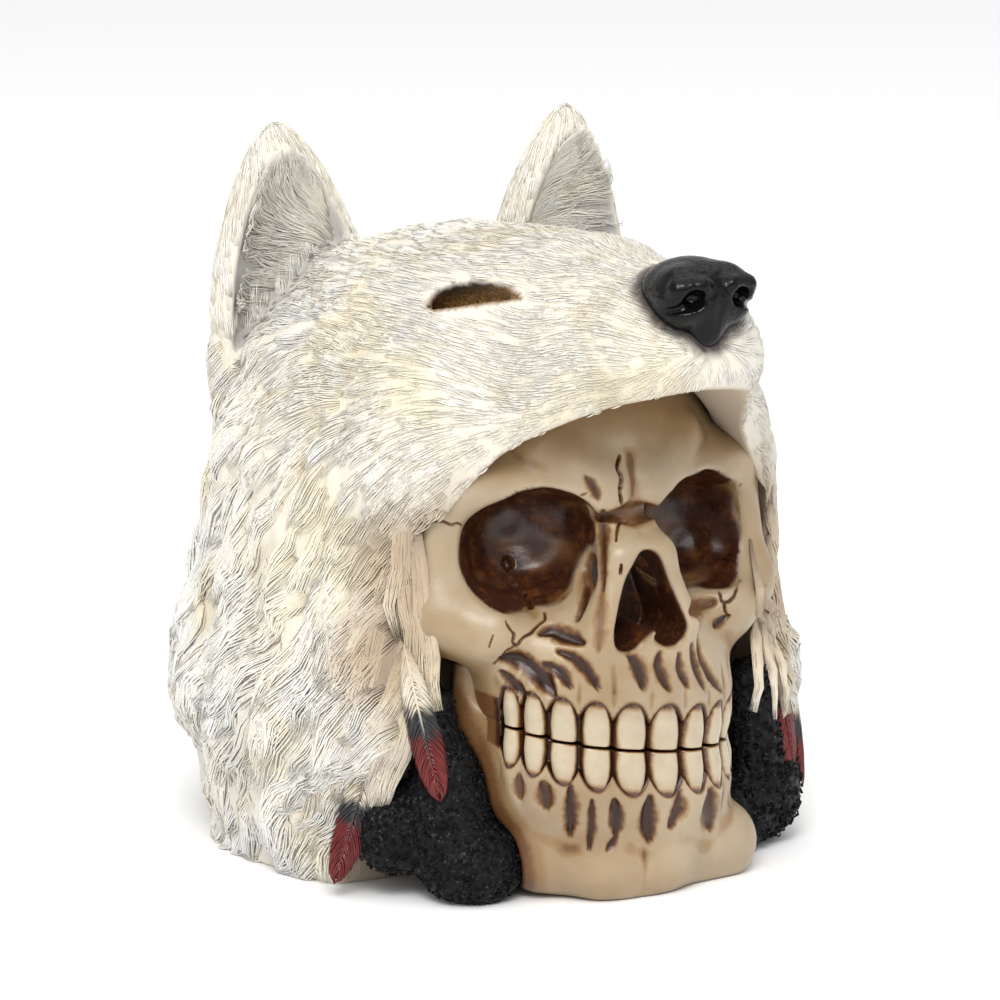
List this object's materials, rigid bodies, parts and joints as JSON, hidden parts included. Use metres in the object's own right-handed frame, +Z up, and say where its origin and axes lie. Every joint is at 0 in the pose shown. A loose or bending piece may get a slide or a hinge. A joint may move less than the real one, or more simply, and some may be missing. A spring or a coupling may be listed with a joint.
{
  "type": "skull ornament in a wolf-head pelt hood",
  "caption": "Cast-resin human skull ornament wearing a white wolf-head pelt as a hood, with black tufts and feathers beside the jaw; stands on a flat base.",
  "frame": {"origin": "on the ground under the middle of the flat base of the pelt", "axes": "+Z up, the face and the wolf's nose point along -Y, +X is the subject's left"},
  "size_m": [0.1399, 0.1777, 0.1628],
  "materials": {
    "bone": "satin painted resin, ivory with brown wash in the recesses",
    "white_fur": "matt painted resin carved as fur, creamy white with grey and yellow tints",
    "nose_black": "wet-looking gloss black",
    "black_curls": "granular curly black with grey flecks",
    "feather": "cream vane, charcoal band and dark red tip, satin"
  },
  "bodies": {
    "root": {"cranium": "bone", "mandible": "bone", "wolf_pelt": "white_fur", "wolf_nose": "nose_black", "black_tuft_right": "black_curls", "black_tuft_left": "black_curls", "feather_right_front": "feather", "feather_right_back": "feather", "feather_left_front": "feather", "feather_left_back": "feather"}
  },
  "joints": []
}
